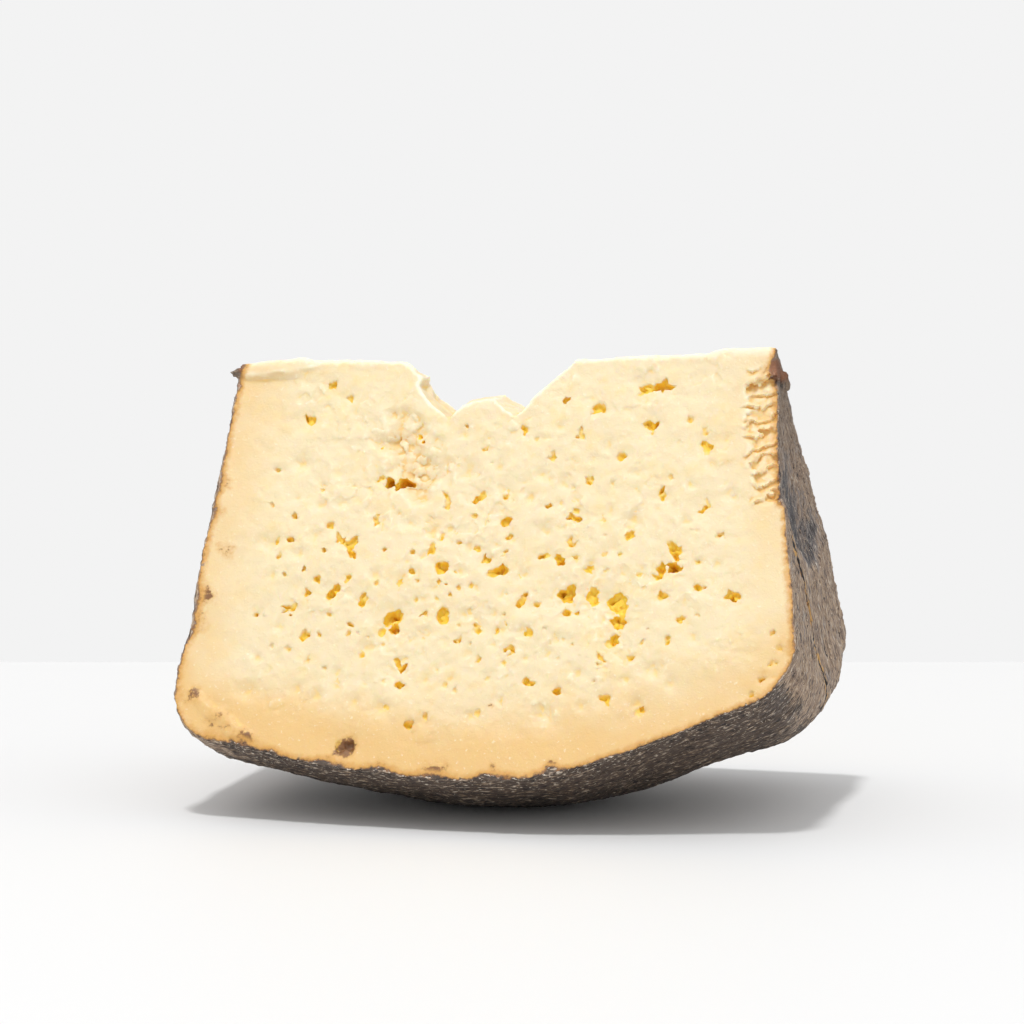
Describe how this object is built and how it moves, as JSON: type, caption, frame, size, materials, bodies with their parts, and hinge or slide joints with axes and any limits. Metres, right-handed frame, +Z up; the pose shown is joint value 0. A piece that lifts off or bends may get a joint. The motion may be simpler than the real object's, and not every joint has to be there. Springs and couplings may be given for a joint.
{
  "type": "pecorino cheese wedge",
  "caption": "Wedge cut from a tall pecorino wheel, standing on its rounded heel, with a broken top edge, small eyes and a dark wrinkled rind.",
  "frame": {"origin": "centre of the small flat spot on the heel that the wedge rests on", "axes": "+X along the wheel's axis, towards the flat face with the crack; -Y out of the cut face that the picture shows; +Z up"},
  "size_m": [0.1388, 0.0943, 0.1023],
  "materials": {
    "cheese": "matte cream paste with a dark brown-grey rind"
  },
  "bodies": {
    "root": {"pecorino_wedge": "cheese"}
  },
  "joints": []
}
